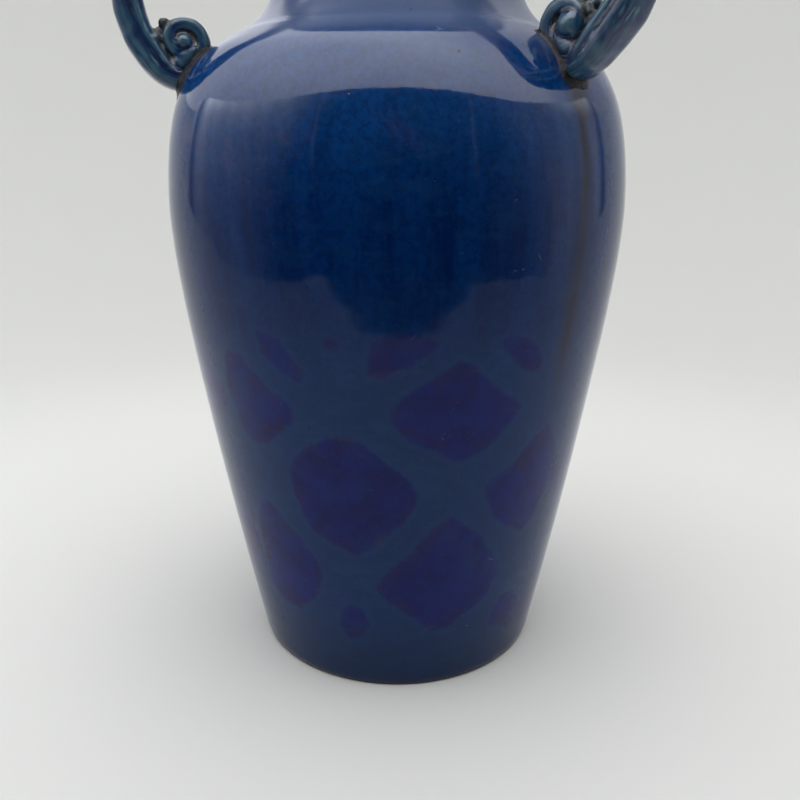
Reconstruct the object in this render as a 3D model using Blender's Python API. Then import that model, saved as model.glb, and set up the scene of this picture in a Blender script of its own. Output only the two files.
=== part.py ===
"""Three-handled glazed stoneware vase (amphora shape).

The pot is put together the way a potter does it: a thrown belly with its
floor, a thrown neck with a flared mouth set on top of it, three pulled strap
handles 120 degrees apart that end in a rolled scroll on the shoulder, and the
pads of soft clay that lute each handle to the shoulder and to the neck.

Units are metres, +Z is up, the axis of the pot is Z and the flat base stands
on Z = 0.  Each part is modelled with its handle plane along +X and then
turned to its place.
"""

import math

import bmesh
import bpy
from mathutils import Matrix, Vector

# --------------------------------------------------------------------------
# Driving dimensions, metres
# --------------------------------------------------------------------------
R = 0.082               # greatest radius of the belly
WALL = 0.0060           # thrown wall of the belly
WALL_NECK = 0.0050      # thrown wall of the neck
FLOOR = 0.0085          # thickness of the floor
FOOT_EDGE = 0.0016      # rounding of the lower edge of the foot
JOIN_Z = 2.800 * R      # height of the seam between belly and neck
GAP = 0.0003            # clearance that two touching solids keep
LUTE = 0.0013           # clay between a handle and the wall it is luted to
SEGMENTS = 48           # facets round the pot (120 degrees is 16 of them)

# the potter's template: outer radius and height, in belly radii
TEMPLATE = (
    (0.679, 0.000), (0.770, 0.461), (0.849, 0.890), (0.914, 1.289),
    (0.968, 1.660), (0.994, 1.905), (1.000, 2.090), (0.976, 2.332),
    (0.931, 2.489), (0.856, 2.612), (0.750, 2.690), (0.659, 2.738),
    (0.573, 2.819), (0.530, 2.905), (0.515, 2.990), (0.519, 3.080),
    (0.540, 3.180), (0.580, 3.280), (0.630, 3.360),
)
LIP_R = 0.0330 * R      # rolled lip: radius of the roll
LIP_AT = (0.636, 3.385)  # rolled lip: centre of the roll, in belly radii

# the handles, each pulled and set by hand, so no two are quite alike:
# direction in degrees from +X, how much wider its loop stands out, how much
# lower it was set (belly radii), and the size of the rolled-up end
HANDLES = {
    "right": (-46.5, 1.26, -0.020, 1.16),
    "left": (193.5, 1.00, 0.000, 1.00),
    "back": (73.5, 1.10, -0.008, 1.05),
}
STRAP_T = 0.128 * R     # strap thickness, in the plane of the loop
STRAP_W = 0.172 * R     # strap width, across the loop
SCROLL = (0.886, 2.693)  # middle of the rolled scroll, in belly radii
SCROLL_T = 0.050 * R    # strap thickness where it is rolled up
SCROLL_W = 0.132 * R    # strap width where it is rolled up
KNOB_R = 0.044 * R      # rolled-up end in the middle of the scroll
KNOB_W = 0.076 * R      # half of its length across
# the heel, where the strap is pressed solid against the shoulder: half sizes
# out from the wall, across, and along the wall; and where it lies from the
# middle of the scroll, towards the wall and down along it
HEEL = (0.050 * R, 0.072 * R, 0.108 * R)
HEEL_AT = (0.035 * R, 0.055 * R)
SECTION_POINTS = 10

# the loop of the strap, from the neck down to where it starts to curl
LOOP = (
    (0.490, 3.080), (0.600, 3.112), (0.720, 3.158), (0.850, 3.180),
    (0.965, 3.140), (1.050, 3.048), (1.092, 2.935), (1.094, 2.840),
    (1.070, 2.733), (1.028, 2.655), (0.980, 2.592),
)
# the curl: (angle in degrees, distance from SCROLL in belly radii)
CURL = (
    (-74, 0.140), (-100, 0.113), (-140, 0.080), (-180, 0.080), (-225, 0.078),
    (-270, 0.075), (-315, 0.073), (-360, 0.066), (-405, 0.053), (-450, 0.042),
)


# --------------------------------------------------------------------------
# Helpers
# --------------------------------------------------------------------------
def spline(points, steps):
    """A centripetal Catmull-Rom curve through points, steps per span."""
    pts = [Vector(p) for p in points]
    pts = [2 * pts[0] - pts[1]] + pts + [2 * pts[-1] - pts[-2]]
    out = []
    for i in range(1, len(pts) - 2):
        p0, p1, p2, p3 = pts[i - 1:i + 3]
        t0 = 0.0
        t1 = t0 + (p1 - p0).length ** 0.5
        t2 = t1 + (p2 - p1).length ** 0.5
        t3 = t2 + (p3 - p2).length ** 0.5
        for k in range(steps):
            t = t1 + (t2 - t1) * k / steps
            a1 = p0 * ((t1 - t) / (t1 - t0)) + p1 * ((t - t0) / (t1 - t0))
            a2 = p1 * ((t2 - t) / (t2 - t1)) + p2 * ((t - t1) / (t2 - t1))
            a3 = p2 * ((t3 - t) / (t3 - t2)) + p3 * ((t - t2) / (t3 - t2))
            b1 = a1 * ((t2 - t) / (t2 - t0)) + a2 * ((t - t0) / (t2 - t0))
            b2 = a2 * ((t3 - t) / (t3 - t1)) + a3 * ((t - t1) / (t3 - t1))
            out.append(b1 * ((t2 - t) / (t2 - t1)) + b2 * ((t - t1) / (t2 - t1)))
    out.append(pts[-2].copy())
    return out


def offset(points, d):
    """Moves an open 2-D line sideways by d; + is to its right."""
    out = []
    for i, p in enumerate(points):
        a = points[max(i - 1, 0)]
        b = points[min(i + 1, len(points) - 1)]
        t = (b - a).normalized()
        out.append(p + Vector((t.y, -t.x)) * d)
    return out


def at_height(points, z):
    """The point of a rising line at height z."""
    for a, b in zip(points, points[1:]):
        if a.y <= z <= b.y:
            return a.lerp(b, (z - a.y) / (b.y - a.y))
    raise ValueError("the line does not reach that height")


def part_of(points, z_low, z_high):
    """The stretch of a rising line between two heights."""
    inner = [p for p in points if z_low + 1e-4 < p.y < z_high - 1e-4]
    return [at_height(points, z_low)] + inner + [at_height(points, z_high)]


def link(name, bm, material=None):
    """Turns a bmesh into an object with clean outward faces."""
    bmesh.ops.recalc_face_normals(bm, faces=bm.faces[:])
    mesh = bpy.data.meshes.new(name)
    bm.to_mesh(mesh)
    bm.free()
    obj = bpy.data.objects.new(name, mesh)
    bpy.context.scene.collection.objects.link(obj)
    if material:
        mesh.materials.append(material)
    return obj


def turned(name, profile):
    """Spins a closed (radius, height) outline about Z into a solid."""
    bm = bmesh.new()
    verts = [bm.verts.new((p.x, 0.0, p.y)) for p in profile]
    edges = [bm.edges.new((a, b)) for a, b in zip(verts, verts[1:])]
    if profile[0].x > 1e-9 or profile[-1].x > 1e-9:
        edges.append(bm.edges.new((verts[-1], verts[0])))
    bmesh.ops.spin(
        bm, geom=verts + edges, cent=(0, 0, 0), axis=(0, 0, 1),
        angle=2 * math.pi, steps=SEGMENTS, use_duplicate=False,
    )
    bmesh.ops.remove_doubles(bm, verts=bm.verts[:], dist=1e-6)
    return link(name, bm)


def boolean(obj, other, operation):
    """Applies obj (operation) other and removes other."""
    mod = obj.modifiers.new("cut", "BOOLEAN")
    mod.operation = operation
    mod.solver = "EXACT"
    mod.use_self = True
    mod.object = other
    depsgraph = bpy.context.evaluated_depsgraph_get()
    result = bpy.data.meshes.new_from_object(obj.evaluated_get(depsgraph))
    obj.modifiers.clear()
    old, obj.data = obj.data, result
    bpy.data.meshes.remove(old)
    bpy.data.objects.remove(other)
    bm = bmesh.new()
    bm.from_mesh(obj.data)
    bmesh.ops.remove_doubles(bm, verts=bm.verts[:], dist=2e-5)
    bmesh.ops.dissolve_degenerate(bm, edges=bm.edges[:], dist=2e-5)
    bmesh.ops.triangulate(bm, faces=bm.faces[:])
    bm.to_mesh(obj.data)
    bm.free()


def ellipsoid(name, centre, axes, semi, u=16, v=10, square=1.0):
    """An ellipsoid with its own axes (columns) and semi-axes; square < 1
    makes it more like a rounded block."""
    bm = bmesh.new()
    bmesh.ops.create_uvsphere(bm, u_segments=u, v_segments=v, radius=1.0)
    frame = Matrix([list(a) for a in axes]).transposed()
    for vert in bm.verts:
        vert.co = centre + frame @ Vector([
            math.copysign(abs(c) ** square, c) * s for c, s in zip(vert.co, semi)
        ])
    return link(name, bm)


def smoothstep(a, b, x):
    t = min(max((x - a) / (b - a), 0.0), 1.0)
    return t * t * (3 - 2 * t)


def material(name, colour, rough):
    mat = bpy.data.materials.new(name)
    mat.use_nodes = True
    bsdf = mat.node_tree.nodes["Principled BSDF"]
    bsdf.inputs["Base Color"].default_value = (*colour, 1.0)
    bsdf.inputs["Roughness"].default_value = rough
    bsdf.inputs["Metallic"].default_value = 0.0
    mat.diffuse_color = (*colour, 1.0)
    return mat


# --------------------------------------------------------------------------
# The pot
# --------------------------------------------------------------------------
def outer_line(steps=2):
    """The outside of the pot from foot to lip, rising."""
    return spline([(r * R, z * R) for r, z in TEMPLATE], steps)


def belly_outline(grow=0.0):
    """Closed outline of the belly; grow > 0 makes its outside larger."""
    line = part_of(outer_line(), 0.0, JOIN_Z)
    outside = offset(line, grow) if grow else line
    if grow:
        # a cutter: solid, reaching past the seam
        return (
            [Vector((0.0, -0.01)), Vector((outside[0].x, -0.01))]
            + outside + [Vector((0.0, outside[-1].y))]
        )
    foot = [
        Vector((0.0, 0.0)),
        Vector((outside[0].x - FOOT_EDGE, 0.0)),
        Vector((outside[0].x - 0.3 * FOOT_EDGE, 0.3 * FOOT_EDGE)),
        at_height(outside, FOOT_EDGE),
    ]
    inside = [p for p in offset(line, -WALL)[::2] if p.y < JOIN_Z - 0.002]
    top = Vector((line[-1].x - 0.0066, JOIN_Z))
    low = [p for p in inside if p.y > FLOOR + 0.012]
    corner = Vector((low[0].x - 0.006, FLOOR + 0.0022))
    floor = [corner, Vector((corner.x - 0.010, FLOOR)), Vector((0.0, FLOOR))]
    rising = [p for p in outside if p.y > FOOT_EDGE + 0.001]
    return foot + rising + [top] + low[::-1] + floor


def neck_outline(grow=0.0):
    """Closed outline of the neck with its rolled lip."""
    base = JOIN_Z + GAP
    line = part_of(outer_line(), base, TEMPLATE[-1][1] * R - 1e-5)
    if grow:
        # a cutter: the outside only, made larger, reaching past both ends
        out = offset(line, grow)
        return (
            [Vector((0.0, out[0].y - 0.004)), out[0] + Vector((0.004, -0.004))]
            + out + [Vector((0.0, out[-1].y))]
        )
    centre = Vector((LIP_AT[0] * R, LIP_AT[1] * R))
    roll = [
        centre + LIP_R * Vector((math.cos(math.radians(a)), math.sin(math.radians(a))))
        for a in range(-25, 181, 50)
    ]
    inside = [
        p for p in offset(line, -WALL_NECK)[::2]
        if base + 0.003 < p.y < centre.y - LIP_R
    ]
    low = Vector((line[0].x - 0.0063, base))
    return line + roll + inside[::-1] + [low]


# --------------------------------------------------------------------------
# The handles
# --------------------------------------------------------------------------
def scroll_middle(hand):
    """Middle of the scroll in the (radius, height) plane."""
    return Vector((SCROLL[0] * R, (SCROLL[1] + hand[2]) * R))


def handle_path(hand):
    """Centre line of the strap in the (radius, height) plane."""
    middle = scroll_middle(hand)
    points = []
    for r, z in LOOP:
        if r > SCROLL[0]:
            r = SCROLL[0] + (r - SCROLL[0]) * (
                1 + (hand[1] - 1) * smoothstep(2.55, 2.80, z)
            )
        points.append(Vector((r * R, (z + hand[2]) * R)))
    for angle, distance in CURL:
        a = math.radians(angle)
        points.append(middle + distance * R * Vector((math.cos(a), math.sin(a))))
    return spline(points, 2)


def handle_solid(hand, grow=0.0):
    """Sweeps the rounded strap section along the centre line."""
    path = handle_path(hand)
    curl_from = 2 * (len(LOOP) - 2)
    bm = bmesh.new()
    rings = []
    last = len(path) - 1
    for i, p in enumerate(path):
        a = path[max(i - 1, 0)]
        b = path[min(i + 1, last)]
        along = (b - a).normalized()
        side = Vector((along.y, -along.x))
        k = smoothstep(curl_from, curl_from + 7, i)
        thick = (STRAP_T * (1 - k) + SCROLL_T * k) / 2 + grow
        wide = (STRAP_W * (1 - k) + SCROLL_W * k) / 2 + grow
        ring = []
        for j in range(SECTION_POINTS):
            t = 2 * math.pi * (j + 0.5) / SECTION_POINTS
            c, s = math.cos(t), math.sin(t)
            u = math.copysign(abs(c) ** 0.62, c) * thick
            w = math.copysign(abs(s) ** 0.62, s) * wide
            q = p + side * u
            ring.append(bm.verts.new((q.x, w, q.y)))
        rings.append(ring)
    for one, two in zip(rings, rings[1:]):
        for j in range(SECTION_POINTS):
            n = (j + 1) % SECTION_POINTS
            bm.faces.new((one[j], one[n], two[n], two[j]))
    bm.faces.new(rings[0][::-1])
    bm.faces.new(rings[-1])
    strap = link("strap", bm)
    middle = scroll_middle(hand)
    knob = ellipsoid(
        "knob", Vector((middle.x, 0.0, middle.y)),
        ((1, 0, 0), (0, 1, 0), (0, 0, 1)),
        (KNOB_R * hand[3] + grow, KNOB_W * hand[3] + grow, KNOB_R * hand[3] + grow),
        u=14, v=10,
    )
    boolean(strap, knob, "UNION")
    axes = surface_frame(2.6 * R)[1]
    heel = ellipsoid(
        "heel",
        Vector((middle.x, 0.0, middle.y)) - axes[0] * HEEL_AT[0] - axes[2] * HEEL_AT[1],
        axes, [h + grow for h in HEEL], u=14, v=10, square=0.9,
    )
    boolean(strap, heel, "UNION")
    clear = LUTE - grow
    boolean(strap, turned("belly_cut", belly_outline(clear)), "DIFFERENCE")
    boolean(strap, turned("neck_cut", neck_outline(clear)), "DIFFERENCE")
    return strap


def surface_frame(z):
    """Point on the outside of the pot at height z and its local axes:
    outward, round the pot, and up the wall."""
    line = outer_line(4)
    p = at_height(line, z)
    a, b = at_height(line, z - 0.003), at_height(line, z + 0.003)
    up = (b - a).normalized()
    return (
        Vector((p.x, 0.0, p.y)),
        (Vector((up.y, 0.0, -up.x)), Vector((0, 1, 0)), Vector((up.x, 0.0, up.y))),
    )


def luting(name, hand, z, semi, cutter):
    """The pad of clay that joins one handle end to the wall at height z."""
    centre, axes = surface_frame(z + hand[2] * R)
    pad = ellipsoid(name, centre, axes, semi, square=0.8)
    boolean(pad, turned("wall_cut", cutter(GAP)), "DIFFERENCE")
    boolean(pad, handle_solid(hand, GAP), "DIFFERENCE")
    return pad


# --------------------------------------------------------------------------
# Build
# --------------------------------------------------------------------------
def main():
    for obj in list(bpy.data.objects):
        bpy.data.objects.remove(obj, do_unlink=True)

    cobalt = (0.012, 0.045, 0.18)
    teal = (0.030, 0.105, 0.210)
    brown = (0.065, 0.050, 0.032)
    turn = math.radians(HANDLES["right"][0])

    def finish(obj, colour, rough, angle):
        obj.data.materials.clear()
        obj.data.materials.append(material(obj.name, colour, rough))
        obj.rotation_euler = (0.0, 0.0, angle)
        obj.data.shade_smooth()
        obj.data.set_sharp_from_angle(angle=math.radians(50))

    belly = turned("belly", belly_outline())
    finish(belly, cobalt, 0.12, turn)
    neck = turned("neck_and_mouth", neck_outline())
    finish(neck, cobalt, 0.12, turn)

    for where, hand in HANDLES.items():
        strap = handle_solid(hand)
        low = luting(
            "low", hand, 2.606 * R, (0.036 * R, 0.105 * R, 0.132 * R), belly_outline
        )
        high = luting(
            "high", hand, 3.088 * R, (0.050 * R, 0.112 * R, 0.090 * R), neck_outline
        )
        for obj, prefix, colour, rough in (
            (strap, "handle", teal, 0.14),
            (low, "shoulder_luting", brown, 0.25),
            (high, "neck_luting", brown, 0.25),
        ):
            obj.name = f"{prefix}_{where}"
            finish(obj, colour, rough, math.radians(hand[0]))


main()
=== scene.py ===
"""Looks of the three-handled glazed vase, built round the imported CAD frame."""

import math
import bmesh
import bpy
import numpy as np
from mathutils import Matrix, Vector
from mathutils.bvhtree import BVHTree
from mathutils.kdtree import KDTree


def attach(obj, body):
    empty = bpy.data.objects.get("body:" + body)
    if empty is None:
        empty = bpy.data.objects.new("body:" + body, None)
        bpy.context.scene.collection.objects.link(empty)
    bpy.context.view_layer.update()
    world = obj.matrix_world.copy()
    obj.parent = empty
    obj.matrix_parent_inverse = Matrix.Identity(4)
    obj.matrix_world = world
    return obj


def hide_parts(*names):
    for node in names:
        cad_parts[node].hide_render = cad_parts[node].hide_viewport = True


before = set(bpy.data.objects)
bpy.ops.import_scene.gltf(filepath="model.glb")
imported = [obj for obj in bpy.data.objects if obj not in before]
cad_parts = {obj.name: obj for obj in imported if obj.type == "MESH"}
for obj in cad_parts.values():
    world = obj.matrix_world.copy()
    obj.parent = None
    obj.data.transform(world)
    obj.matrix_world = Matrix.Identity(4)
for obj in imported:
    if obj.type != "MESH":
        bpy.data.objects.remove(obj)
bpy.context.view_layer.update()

# --------------------------------------------------------------------------
# Dimensions shared with the CAD model, metres
# --------------------------------------------------------------------------
R = 0.082
WALL, WALL_NECK, FLOOR, FOOT_EDGE = 0.0060, 0.0050, 0.0085, 0.0016
TEMPLATE = (
    (0.679, 0.000), (0.770, 0.461), (0.849, 0.890), (0.914, 1.289),
    (0.968, 1.660), (0.994, 1.905), (1.000, 2.090), (0.976, 2.332),
    (0.931, 2.489), (0.856, 2.612), (0.750, 2.690), (0.659, 2.738),
    (0.573, 2.819), (0.530, 2.905), (0.515, 2.990), (0.519, 3.080),
    (0.540, 3.180), (0.580, 3.280), (0.630, 3.360),
)
LIP_R, LIP_AT = 0.0330 * R, (0.636 * R, 3.385 * R - 0.00012)
# direction from +X, reach of the loop, drop, size of the rolled-up end
HANDLES = {
    "right": (-46.5, 1.26, -0.020, 1.16),
    "left": (193.5, 1.00, 0.000, 1.00),
    "back": (73.5, 1.10, -0.008, 1.05),
}
STRAP_T, STRAP_W = 0.128 * R, 0.172 * R
SCROLL = (0.886, 2.693)
SCROLL_T, SCROLL_W = 0.050 * R, 0.132 * R
LOOP = (
    (0.490, 3.080), (0.600, 3.112), (0.720, 3.158), (0.850, 3.180),
    (0.965, 3.140), (1.050, 3.048), (1.092, 2.935), (1.094, 2.840),
    (1.070, 2.733), (1.028, 2.655), (0.980, 2.592),
)
CURL = (
    (-74, 0.140), (-100, 0.113), (-140, 0.080), (-180, 0.080), (-225, 0.078),
    (-270, 0.075), (-315, 0.073), (-360, 0.066), (-405, 0.053), (-450, 0.042),
)
rng = np.random.default_rng(7)


# --------------------------------------------------------------------------
# Helpers
# --------------------------------------------------------------------------
def spline(points, steps):
    """Centripetal Catmull-Rom curve through 2-D points."""
    p = np.asarray(points, float)
    p = np.vstack([2 * p[0] - p[1], p, 2 * p[-1] - p[-2]])
    out = []
    for i in range(1, len(p) - 2):
        p0, p1, p2, p3 = p[i - 1:i + 3]
        t0 = 0.0
        t1 = t0 + np.linalg.norm(p1 - p0) ** 0.5
        t2 = t1 + np.linalg.norm(p2 - p1) ** 0.5
        t3 = t2 + np.linalg.norm(p3 - p2) ** 0.5
        for k in range(steps):
            t = t1 + (t2 - t1) * k / steps
            a1 = p0 * ((t1 - t) / (t1 - t0)) + p1 * ((t - t0) / (t1 - t0))
            a2 = p1 * ((t2 - t) / (t2 - t1)) + p2 * ((t - t1) / (t2 - t1))
            a3 = p2 * ((t3 - t) / (t3 - t2)) + p3 * ((t - t2) / (t3 - t2))
            b1 = a1 * ((t2 - t) / (t2 - t0)) + a2 * ((t - t0) / (t2 - t0))
            b2 = a2 * ((t3 - t) / (t3 - t1)) + a3 * ((t - t1) / (t3 - t1))
            out.append(b1 * ((t2 - t) / (t2 - t1)) + b2 * ((t - t1) / (t2 - t1)))
    out.append(p[-2])
    return np.array(out)


def smoothstep(a, b, x):
    t = np.clip((np.asarray(x, float) - a) / (b - a), 0.0, 1.0)
    return t * t * (3 - 2 * t)


def resample(line, step):
    """Points along a line at distances given by step(point) in metres."""
    seg = np.linalg.norm(np.diff(line, axis=0), axis=1)
    arc = np.concatenate([[0.0], np.cumsum(seg)])
    out, s = [], 0.0
    while s < arc[-1] - 1e-5:
        q = np.array([np.interp(s, arc, line[:, 0]), np.interp(s, arc, line[:, 1])])
        out.append(q)
        s += step(q)
    out.append(line[-1])
    return np.array(out)


def offset(line, d):
    t = np.gradient(line, axis=0)
    t /= np.linalg.norm(t, axis=1)[:, None]
    return line + np.stack([t[:, 1], -t[:, 0]], 1) * d


def mesh_object(name, verts, faces, smooth=True):
    mesh = bpy.data.meshes.new(name)
    mesh.from_pydata([tuple(v) for v in verts], [], faces)
    mesh.validate()
    obj = bpy.data.objects.new(name, mesh)
    bpy.context.scene.collection.objects.link(obj)
    if smooth:
        mesh.shade_smooth()
    return obj


def attribute(obj, name, values):
    att = obj.data.attributes.new(name, "FLOAT", "POINT")
    att.data.foreach_set("value", np.asarray(values, np.float32))


def coords(obj):
    co = np.empty(len(obj.data.vertices) * 3, np.float32)
    obj.data.vertices.foreach_get("co", co)
    return co.reshape(-1, 3).astype(float)


OUTER = spline(np.array(TEMPLATE) * R, 24)


def outer_radius(z):
    return np.interp(z, OUTER[:, 1], OUTER[:, 0])


def wobble(phi, z):
    """The small unevenness of a thrown wall, always inwards, metres."""
    rings = 0.5 + 0.5 * np.sin(2 * np.pi * z / 0.0094 + 1.3 * np.sin(phi) + 2.1 * z / R)
    slow = 0.5 + 0.25 * np.sin(2 * phi + 5.0 * z / R) + 0.25 * np.sin(3 * phi - 3.1 * z / R + 1.0)
    lumps = 0.5 + 0.5 * np.sin(7 * phi + 9 * z / R) * np.sin(4 * phi - 11 * z / R + 0.6)
    return -(0.000030 * rings + 0.00016 * slow + 0.000035 * lumps)


# --------------------------------------------------------------------------
# The camera: the viewing angle and framing of the photograph
# --------------------------------------------------------------------------
cam_data = bpy.data.cameras.new("camera")
cam_data.lens, cam_data.sensor_width = 33.3, 36.0
cam_data.shift_x = 0.00375
cam_data.clip_start, cam_data.clip_end = 0.005, 20.0
camera = bpy.data.objects.new("camera", cam_data)
camera.location = (0.0, -3.499 * R, 2.124 * R)
camera.rotation_euler = (math.radians(74.13), 0.0, 0.0)
bpy.context.scene.collection.objects.link(camera)
bpy.context.scene.camera = camera


# --------------------------------------------------------------------------
# The lattice in the glaze: dark cells left between brushed bands.
# Each cell is an outline of (degrees right of the front, height in radii).
# --------------------------------------------------------------------------
FRONT_CELLS = (
    ((-2.6, 1.346), (3.0, 1.424), (9.4, 1.498), (14.2, 1.558), (19.2, 1.493), (24.5, 1.422), (31.8, 1.339),
     (30.4, 1.278), (24.4, 1.181), (19.5, 1.134), (14.7, 1.108), (10.5, 1.157), (3.2, 1.215), (-1.1, 1.292)),
    ((-29.2, 1.074), (-27.4, 1.127), (-20.2, 1.212), (-14.5, 1.246), (-8.8, 1.223), (-2.5, 1.154), (3.4, 1.073),
     (6.3, 1.007), (5.3, 0.918), (0.1, 0.833), (-5.9, 0.741), (-12.1, 0.696), (-18.3, 0.733), (-24.5, 0.793),
     (-26.8, 0.862), (-29.3, 0.990)),
    ((14.4, 0.901), (19.3, 0.853), (25.2, 0.752), (30.0, 0.655), (34.3, 0.561), (30.8, 0.444), (23.4, 0.372),
     (17.3, 0.304), (11.7, 0.299), (4.4, 0.386), (-3.2, 0.487), (-7.1, 0.553), (-3.8, 0.624), (3.1, 0.730),
     (8.7, 0.840)),
    ((22.6, 0.986), (24.9, 1.039), (30.2, 1.083), (36.3, 1.169), (42.5, 1.230), (48.7, 1.123), (51.3, 0.974),
     (47.9, 0.876), (44.9, 0.773), (39.8, 0.719), (31.3, 0.782), (25.6, 0.879)),
    ((-45.8, 1.534), (-39.1, 1.529), (-36.3, 1.471), (-29.7, 1.401), (-25.0, 1.335), (-25.2, 1.269),
     (-32.3, 1.182), (-39.1, 1.136), (-44.5, 1.175), (-46.5, 1.309), (-47.8, 1.418)),
    ((-41.9, 0.891), (-35.7, 0.867), (-31.8, 0.793), (-25.5, 0.698), (-22.1, 0.589), (-25.1, 0.467),
     (-33.1, 0.345), (-42.2, 0.341), (-47.6, 0.426), (-48.6, 0.534), (-47.8, 0.731)),
    ((20.4, 1.598), (24.2, 1.618), (29.9, 1.614), (34.4, 1.565), (36.2, 1.493), (34.3, 1.444), (29.1, 1.476),
     (24.8, 1.546)),
    ((-5.5, 1.634), (2.3, 1.654), (10.7, 1.612), (6.9, 1.555), (1.2, 1.496), (-2.8, 1.455), (-6.9, 1.474),
     (-7.9, 1.544)),
    ((-17.0, 1.626), (-13.4, 1.639), (-11.3, 1.582), (-12.5, 1.561), (-16.1, 1.578)),
    ((-34.0, 1.643), (-27.5, 1.613), (-23.9, 1.558), (-19.8, 1.472), (-22.2, 1.426), (-27.5, 1.469),
     (-32.1, 1.533)),
    ((-20.2, 0.383), (-15.1, 0.463), (-10.0, 0.437), (-8.6, 0.337), (-12.7, 0.248), (-18.5, 0.240)),
    ((-1.6, 0.314), (1.0, 0.329), (2.8, 0.291), (1.0, 0.254), (-1.7, 0.268)),
    ((36.8, 0.429), (43.5, 0.421), (50.5, 0.289), (44.8, 0.189), (33.8, 0.252), (33.2, 0.360)),
)


def all_cells():
    """The front cells, and cells of the same kind on the rest of the pot."""
    cells = [np.array(c, float) for c in FRONT_CELLS]
    columns = 10
    pitch = (360 - 72 - 30) / columns
    for i in range(columns + 1):
        for j in range(4):
            az = 51.0 + pitch * (i + 0.5) + rng.uniform(-2.0, 2.0)
            z = 0.25 + 0.72 * j + (0.36 if i % 2 else 0.0) + rng.uniform(-0.03, 0.03)
            if az > 309.0 or z > 1.80:
                continue
            w = pitch * 0.68 * rng.uniform(0.90, 1.05)
            h = 0.245 * rng.uniform(0.92, 1.06) * (0.5 if z > 1.5 else 1.0)
            skew = rng.uniform(-0.18, 0.18)
            ring = []
            for k in range(16):
                a = math.tau * k / 16
                # a rhombus with blunted corners
                b = 1.0 / (abs(math.cos(a)) ** 1.25 + abs(math.sin(a)) ** 1.25) ** 0.8
                b *= rng.uniform(0.96, 1.04)
                x, y = b * math.cos(a), b * math.sin(a)
                ring.append((az + w * (x + skew * y), max(z + h * y, 0.10)))
            cells.append(np.array(ring))
    return cells


def cell_distance(phi_deg, z):
    """Signed distance in mm to the edge of the nearest dark cell, - inside."""
    best = np.full(phi_deg.shape, 30.0)
    scale_z = R * 1000
    for cell in all_cells():
        c = cell.mean(0)
        ring_r = outer_radius(c[1] * R) * 1000 * math.pi / 180
        dphi = (phi_deg - c[0] + 180) % 360 - 180
        near = (np.abs(dphi) < 24) & (np.abs(z / R - c[1]) < 0.55)
        if not near.any():
            continue
        x, y = dphi[near] * ring_r, (z[near] / R - c[1]) * scale_z
        px, py = (cell[:, 0] - c[0]) * ring_r, (cell[:, 1] - c[1]) * scale_z
        qx, qy = np.roll(px, -1), np.roll(py, -1)
        d = np.full(x.shape, 1e9)
        inside = np.zeros(x.shape, bool)
        for ax, ay, bx, by in zip(px, py, qx, qy):
            ex, ey = bx - ax, by - ay
            l2 = ex * ex + ey * ey
            if l2 < 1e-9:
                continue
            t = np.clip(((x - ax) * ex + (y - ay) * ey) / l2, 0, 1)
            d = np.minimum(d, np.hypot(x - ax - t * ex, y - ay - t * ey))
            crosses = (ay > y) != (by > y)
            with np.errstate(divide="ignore", invalid="ignore"):
                xc = ax + (y - ay) * ex / (ey if abs(ey) > 1e-12 else 1e-12)
            inside ^= crosses & (x < xc)
        d = np.where(inside, -d, d)
        best[near] = np.minimum(best[near], d)
    return best


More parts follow.
